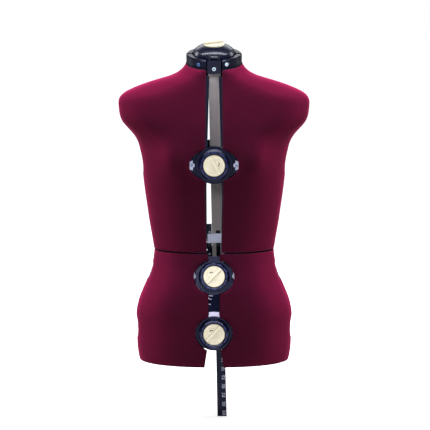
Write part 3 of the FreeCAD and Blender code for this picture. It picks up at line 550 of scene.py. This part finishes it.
def puff(piece):
    """Crowns the sheet from its edges inward, and adds the cloth's drift as far as the foam allows."""
    mesh = piece.data
    depth = border_depth(mesh)
    rest = [vert.co.copy() for vert in mesh.vertices]
    normals = [vert.normal.copy() for vert in mesh.vertices]
    moved = relax_cloth(piece, depth)
    for vert, start, end, out, inward in zip(mesh.vertices, rest, moved, normals, depth):
        share = min(1.0, inward / PUFF_REACH)
        crown = PUFF * (share * share * (3 - 2 * share) - EDGE_SINK)
        drift = max(-DRIFT_IN, min(DRIFT_OUT, (end - start).dot(out)))
        vert.co = start + out * (crown + drift)
    mesh.update()


def cover_piece(node):
    """The knit that stands in for a CAD cover: a puffed sheet with thickness and turned edges."""
    cover = Cover(node)
    piece = link(node + "_knit", sheet_mesh(node + "_knit", cover.grid(), cover.side * cover.face < 0))
    puff(piece)
    dress(piece, JERSEY)
    thick = piece.modifiers.new("thickness", "SOLIDIFY")
    thick.thickness = KNIT_THICKNESS
    thick.offset = -1.0
    round_edges(piece, 0.8 * MM, 50, segments=3)
    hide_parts(node)
    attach(piece, BODY_OF[node])


# ---------------------------------------------------------------- details

UP_POLE = Vector(next(joint["axis"] for joint in JOINTS if joint["name"] == "height"))
MARK_PITCH = 20.0 * MM
NUMERAL_SIZE, NUMERAL_DEPTH, NUMERAL_LIFT = 8.4 * MM, 0.08 * MM, 2.6 * MM
TOP_NUMBER = 10

BEADS = 12
BEAD_SPAN, FIRST_BEAD = math.radians(22), math.radians(19)
BEAD_INNER, BEAD_OUTER = 0.52, 0.90  # shares of the way across a seat's raised ring
RING_RADII = (15 * MM, 33 * MM)  # between which a seat's raised ring is looked for
KEY_SLOT_LEVEL = 3  # counted down from a dial's highest flat level

LUG_REACH = {"bust": 46.8 * MM, "waist": 41.6 * MM}
LUG_HALVES = {"bust": (5.2 * MM, 10.5 * MM), "waist": (2.3 * MM, 8.5 * MM)}
COLLAR_RIVETS = (("left", -33.5 * MM, 9.0 * MM, BLUED), ("right", 27.0 * MM, 10.0 * MM, ZINC))

TAB_RISE = 42.0 * MM  # above the hip dial's centre
TAB_HALF, TAB_TOP, TAB_SHOULDER = 11.0 * MM, 4.5 * MM, -1.0 * MM
TAB_ARCH, TAB_ARCH_DROP, TAB_ARCH_SQUEEZE = 36.0 * MM, 44.0 * MM, 0.82
RIB_START = -11.8 * MM
RIBS = ((0.67, 4.6 * MM), (0.61, 3.4 * MM), (0.52, 2.4 * MM))  # share of the way up, half length


def middle_of(node):
    low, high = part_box(node)
    return (low + high) / 2


def surface(node, start, way):
    """Where a line through a point first meets a node, and the surface's normal there."""
    tree = BVHTree.FromObject(NODES[node], bpy.context.evaluated_depsgraph_get())
    place, normal, _, _ = tree.ray_cast(start - way * FAR, way, 2 * FAR)
    return place, normal


def seated(place, out, up=UP):
    """A frame on a surface: Z out of it, Y as near to up as it goes."""
    z = out.normalized()
    x = up.cross(z).normalized()
    return Matrix.Translation(place) @ Matrix((x, z.cross(x), z)).transposed().to_4x4()


def finished_piece(name, shape, place, made, body, edge):
    """Turns a bmesh into a piece with eased edges that rides on a body."""
    bmesh.ops.recalc_face_normals(shape, faces=shape.faces)
    mesh = bpy.data.meshes.new(name)
    shape.to_mesh(mesh)
    shape.free()
    mesh.transform(place)
    piece = link(name, mesh)
    dress(piece, made)
    if edge:
        round_edges(piece, edge, 40)
    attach(piece, body)


def raise_faces(shape, faces, step):
    """Extrudes faces by a step."""
    raised = bmesh.ops.extrude_face_region(shape, geom=faces)["geom"]
    for item in raised:
        if isinstance(item, bmesh.types.BMVert):
            item.co += step


def raise_outline(shape, outline, low, high):
    """Adds a prism over an outline between two heights."""
    face = shape.faces.new([shape.verts.new((x, y, low)) for x, y in outline])
    raise_faces(shape, [face], UP * (high - low))


def turn_profile(shape, profile, steps=40):
    """Adds a turned solid through (radius, height) pairs; a zero radius closes it on its axis."""
    rings = []
    for radius, height in profile:
        if radius == 0:
            rings.append([shape.verts.new((0, 0, height))] * steps)
        else:
            rings.append([shape.verts.new((radius * math.cos(math.tau * k / steps),
                                           radius * math.sin(math.tau * k / steps), height))
                          for k in range(steps)])
    for lower, upper in zip(rings, rings[1:]):
        for k in range(steps):
            after = (k + 1) % steps
            corners = [lower[k], lower[after], upper[after], upper[k]]
            shape.faces.new(list(dict.fromkeys(corners)))


def rivet(name, place, made, body):
    """A hollow rivet: a rolled rim around a sunken eye."""
    radius = 4.2 * MM
    shape = bmesh.new()
    turn_profile(shape, [(0, 0.3 * MM), (0.30 * radius, 0.3 * MM), (0.38 * radius, 1.0 * MM),
                         (0.60 * radius, 1.5 * MM), (0.85 * radius, 1.3 * MM), (radius, 0.6 * MM),
                         (radius, -0.8 * MM), (0, -0.8 * MM)])
    finished_piece(name, shape, place, made, body, None)


def ring_beads(seat_node, dial_row):
    """Short beads around the rim of a dial seat, which catch the light one by one; their light navy colour
    is partly painted highlight.
    """
    axis = Vector(dial_row["axis"])
    place = seated(Vector(dial_row["pos_m"]), axis)
    inner, outer, top = ring_of(seat_node, place, axis)
    near, far = inner + BEAD_INNER * (outer - inner), inner + BEAD_OUTER * (outer - inner)
    shape = bmesh.new()
    for k in range(BEADS):
        turns = [FIRST_BEAD + math.tau * k / BEADS + BEAD_SPAN * step / 10 for step in range(11)]
        outline = [(far * math.cos(turn), far * math.sin(turn)) for turn in turns]
        outline += [(near * math.cos(turn), near * math.sin(turn)) for turn in reversed(turns)]
        raise_outline(shape, outline, top - 0.2 * MM, top + 0.7 * MM)
    finished_piece(dial_row["child"] + "_beads", shape, place, NAVY_PAINTED_HIGHLIGHT,
                   dial_row["parent"], 0.3 * MM)


def ring_of(seat_node, place, axis):
    """Inner radius, outer radius and height of a seat's raised ring, in the dial's own frame."""
    inverse = place.inverted()
    data = NODES[seat_node].data
    tops = {}
    for polygon in data.polygons:
        if polygon.normal.dot(axis) > 0.99:
            for index in polygon.vertices:
                corner = inverse @ data.vertices[index].co
                reach = math.hypot(corner.x, corner.y)
                if RING_RADII[0] < reach < RING_RADII[1]:
                    tops.setdefault(round(corner.z / MM, 1), []).append(reach)
    top = max(tops)
    return min(tops[top]), max(tops[top]), top * MM


def key_slot(dial_row):
    """A dark inset on the floor of a dial's curved key slot: painted shade in the slot."""
    axis, centre = Vector(dial_row["axis"]), Vector(dial_row["pos_m"])
    data = NODES[dial_row["child"]].data
    levels = {}
    for polygon in data.polygons:
        if polygon.normal.dot(axis) > 0.99:
            levels.setdefault(round((polygon.center - centre).dot(axis) / MM, 1), []).append(polygon)
    floor = levels[sorted(levels, reverse=True)[KEY_SLOT_LEVEL]]
    shape = bmesh.new()
    corners = {}
    for polygon in floor:
        for index in polygon.vertices:
            if index not in corners:
                corners[index] = shape.verts.new(data.vertices[index].co - axis * 0.2 * MM)
        shape.faces.new([corners[index] for index in polygon.vertices])
    bmesh.ops.remove_doubles(shape, verts=shape.verts, dist=0.01 * MM)
    raise_faces(shape, list(shape.faces), axis * 1.2 * MM)
    finished_piece(dial_row["child"] + "_key_slot_painted_shade", shape, Matrix(), BLACK,
                   dial_row["child"], None)


def end_plate(row, face_name, side):
    """The pale lug on a slide's end, seen in the tip of a dial's window, with a stud at the bust."""
    hand = "right" if side > 0 else "left"
    facing = -1 if face_name == "front" else 1
    quadrant = "%s_%s_%s" % ("bodice" if row == "bust" else "hip", face_name, hand)
    start = middle_of("%s_%s_dial" % (row, face_name)) + Vector((side * LUG_REACH[row], 0, 0))
    place, _ = surface(quadrant + "_slides", start, BACKWARD * -facing)
    half, tall = LUG_HALVES[row]
    inner, step = -0.3 * half, 0.35 * tall
    outline = [(-half, -step), (inner, -step), (inner, -tall), (half, -0.8 * tall),
               (half, 0.8 * tall), (inner, tall), (inner, step), (-half, step)]
    shape = bmesh.new()
    raise_outline(shape, [(-x * side * facing, y) for x, y in outline], -1.5 * MM, 1.4 * MM)
    seat = seated(place, BACKWARD * facing)
    name = "%s_%s_lug_%s" % (row, face_name, hand)
    finished_piece(name, shape, seat, PALE, quadrant, 0.35 * MM)
    if row == "bust":
        stud = bmesh.new()
        turn_profile(stud, [(0, 1.3 * MM), (1.2 * MM, 1.3 * MM), (1.2 * MM, 2.1 * MM), (2.0 * MM, 2.1 * MM),
                            (2.3 * MM, 1.6 * MM), (2.3 * MM, 0.9 * MM), (0, 0.9 * MM)], 24)
        finished_piece(name + "_stud", stud, seat, BLUED, quadrant, None)


def collar_rivets():
    """One rivet on each front quadrant of the collar."""
    for hand, offset, rise, made in COLLAR_RIVETS:
        node = "collar_front_" + hand
        place, normal = surface(node, middle_of("tab_rivet") + Vector((offset, 0, rise)), BACKWARD)
        rivet(node + "_rivet", seated(place, normal), made, BODY_OF[node])


def hip_tab(node):
    """A lilac tab above the hip dial, hollowed to the dial's round below: a light piece that paints a
    reflection on the dial's housing.
    """
    place, normal = surface(node, middle_of("hip_front_dial") + UP * TAB_RISE, BACKWARD)
    turns = [math.radians(angle) for angle in range(62, 119, 4)]
    outline = [(TAB_ARCH * math.cos(turn) * TAB_ARCH_SQUEEZE, TAB_ARCH * math.sin(turn) - TAB_ARCH_DROP)
               for turn in turns]
    outline += [(-TAB_HALF, TAB_SHOULDER), (-TAB_HALF, TAB_TOP),
                (TAB_HALF, TAB_TOP), (TAB_HALF, TAB_SHOULDER)]
    shape = bmesh.new()
    raise_outline(shape, outline, -1.0 * MM, 1.4 * MM)
    finished_piece("hip_front_painted_reflection_tab", shape, seated(place, normal), LILAC_PAINTED_REFLECTION,
                   BODY_OF[node], 0.4 * MM)


def carrier_ribs(node):
    """Ribs on the bar between the waist and hip dials, each shorter than the one above; their pale grey on
    the black bar is painted highlight.
    """
    waist, hip = middle_of("waist_front_dial"), middle_of("hip_front_dial")
    for k, (share, half) in enumerate(RIBS):
        start = hip + (waist - hip) * share + Vector((RIB_START + half, 0, 0))
        place, normal = surface(node, start, BACKWARD)
        shape = bmesh.new()
        raise_outline(shape, [(-half, -1.3 * MM), (half, -1.7 * MM), (half, 0.7 * MM), (-half, 1.5 * MM)],
                      -0.5 * MM, 1.6 * MM)
        finished_piece("carrier_rib_%d" % k, shape, seated(place, normal), PALE,
                       BODY_OF[node], 0.5 * MM)


def scale_numerals():
    """A number above each mark of the pole's scale, counting down towards the neck."""
    groups = {}
    for vert in NODES["pole_scale"].data.vertices:
        groups.setdefault(round(vert.co.dot(UP_POLE) / MARK_PITCH), []).append(vert.co)
    marks = [sum(group, Vector()) / len(group) for _, group in sorted(groups.items(), reverse=True)]
    shape = bmesh.new()
    for number, mark in enumerate(marks, TOP_NUMBER):
        text = bpy.data.curves.new("numeral", "FONT")
        text.body = str(number)
        text.size = NUMERAL_SIZE
        text.extrude = NUMERAL_DEPTH
        text.align_x = "CENTER"
        obj = link("numeral", text)
        solid = bpy.data.meshes.new_from_object(obj.evaluated_get(bpy.context.evaluated_depsgraph_get()))
        solid.transform(seated(mark + UP_POLE * NUMERAL_LIFT, -BACKWARD, UP_POLE))
        shape.from_mesh(solid)
        bpy.data.objects.remove(obj)
        bpy.data.curves.remove(text)
        bpy.data.meshes.remove(solid)
    finished_piece("scale_numerals", shape, Matrix(), PRINT, BODY_OF["pole_scale"], None)


def screw(name, node, start):
    """A domed screw head on the front of a node."""
    radius = 2.4 * MM
    place, normal = surface(node, start, BACKWARD)
    shape = bmesh.new()
    turn_profile(shape, [(0, 1.2 * MM), (0.5 * radius, 1.1 * MM), (0.85 * radius, 0.7 * MM),
                         (radius, 0.2 * MM), (radius, -0.8 * MM), (0, -0.8 * MM)], 24)
    finished_piece(name, shape, seated(place, normal), ZINC, BODY_OF[node], None)


def dial_details():
    """Beads around every body dial's seat, and a dark inset as painted shade in every dial's key slot."""
    for row in JOINTS:
        if not row["child"].endswith("_dial"):
            continue
        if row["child"] != "neck_dial":
            kind, side = row["child"].split("_")[:2]
            ring_beads("bust_%s_seat" % side if kind == "bust" else "lower_%s_carrier" % side, row)
        key_slot(row)


def details():
    """The small parts that the CAD leaves out."""
    dial_details()
    for face_name in ("front", "back"):
        for side in (-1, 1):
            end_plate("bust", face_name, side)
            end_plate("waist", face_name, side)
    collar_rivets()
    hip_tab("lower_front_carrier")
    carrier_ribs("lower_front_carrier")
    scale_numerals()
    low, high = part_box("length_bracket")
    for k, share in enumerate((0.2, 0.8)):
        start = Vector(((low.x + high.x) / 2, 0, low.z + (high.z - low.z) * share))
        screw("bracket_screw_%d" % k, "length_bracket", start)


# ---------------------------------------------------------------- stage

FLOOR_SIDE, FLOOR_GAP = 60.0, 0.2 * MM
ROOM_GLOW, ROOM_SEEN_IN_GLOSS = 0.30, 0.10
CAMERA_LENS, CAMERA_AWAY, CAMERA_HEIGHT, CAMERA_PITCH = 138.0, 3.6, 0.886, math.radians(-6.9)
CAMERA_SIDE = 2.0 * MM  # right of the torso's centre line


def stage():
    """A pale floor that glows to the camera, less so close to the object."""
    bpy.ops.mesh.primitive_plane_add(size=FLOOR_SIDE, location=(0, 0, cad_box[0].z - FLOOR_GAP))
    floor = bpy.context.object
    floor.name = "studio_floor"
    made, tree, shader = material("pale_floor")
    shader.inputs["Base Color"].default_value = (0.93, 0.93, 0.93, 1)
    shader.inputs["Roughness"].default_value = 0.9
    shader.inputs["Specular IOR Level"].default_value = 0.0
    shader.inputs["Emission Color"].default_value = (1, 1, 1, 1)
    seen = tree.nodes.new("ShaderNodeLightPath").outputs["Is Camera Ray"]
    away = add(tree, "ShaderNodeVectorMath", {"operation": "LENGTH"},
               i0=tree.nodes.new("ShaderNodeNewGeometry").outputs["Position"]).outputs["Value"]
    glow = remapped(tree, away, (0.3, 1.6), (0.5, 0.85))
    tree.links.new(math_node(tree, "MULTIPLY", seen, glow), shader.inputs["Emission Strength"])
    dress(floor, made)


def area_light(name, place, target, sides, power):
    lamp = bpy.data.lights.new(name, "AREA")
    lamp.shape = "RECTANGLE"
    lamp.size, lamp.size_y = sides
    lamp.energy = power
    obj = link(name, lamp)
    obj.location = place
    obj.rotation_euler = (Vector(target) - Vector(place)).to_track_quat("-Z", "Y").to_euler()


def room():
    """A white room: full white to the camera, dim to everything else, dimmest in glossy reflections."""
    world = bpy.data.worlds.new("studio")
    world.use_nodes = True
    tree = world.node_tree
    ray = tree.nodes.new("ShaderNodeLightPath")
    lit = linear(tree, ray.outputs["Is Glossy Ray"], ROOM_SEEN_IN_GLOSS - ROOM_GLOW, ROOM_GLOW)
    tree.links.new(math_node(tree, "MAXIMUM", lit, ray.outputs["Is Camera Ray"]),
                   tree.nodes["Background"].inputs["Strength"])
    tree.nodes["Background"].inputs["Color"].default_value = (1, 1, 1, 1)
    bpy.context.scene.world = world


def lights():
    middle = (0, 0, 0.5)
    area_light("top", (0.0, -0.75, 2.4), (0, 0, 0.6), (5.0, 0.30), 96.0)
    area_light("back_top", (0.0, 1.9, 2.1), (0, 0, 0.75), (2.6, 0.9), 14.0)
    area_light("key", (-0.55, -3.3, 1.7), middle, (0.8, 0.8), 34.0)
    area_light("fill", (0.6, -3.3, 1.4), middle, (0.8, 0.9), 26.0)
    area_light("rim_left", (-2.2, 0.9, 1.3), middle, (0.7, 1.8), 24.0)
    area_light("rim_right", (2.2, 0.9, 1.3), middle, (0.7, 1.8), 18.0)


def camera():
    lens = bpy.data.cameras.new("camera")
    lens.sensor_width = 36.0
    lens.lens = CAMERA_LENS
    eye = link("camera", lens)
    eye.location = (CENTRE.x + CAMERA_SIDE, -CAMERA_AWAY, CAMERA_HEIGHT)
    eye.rotation_euler = (math.radians(90.0) + CAMERA_PITCH, 0, 0)
    bpy.context.scene.camera = eye


# ---------------------------------------------------------------- build

bpy.context.scene.view_settings.view_transform = "Standard"
dress_frame()
for name in COVERS:
    cover_piece(name)
details()
stage()
room()
lights()
camera()
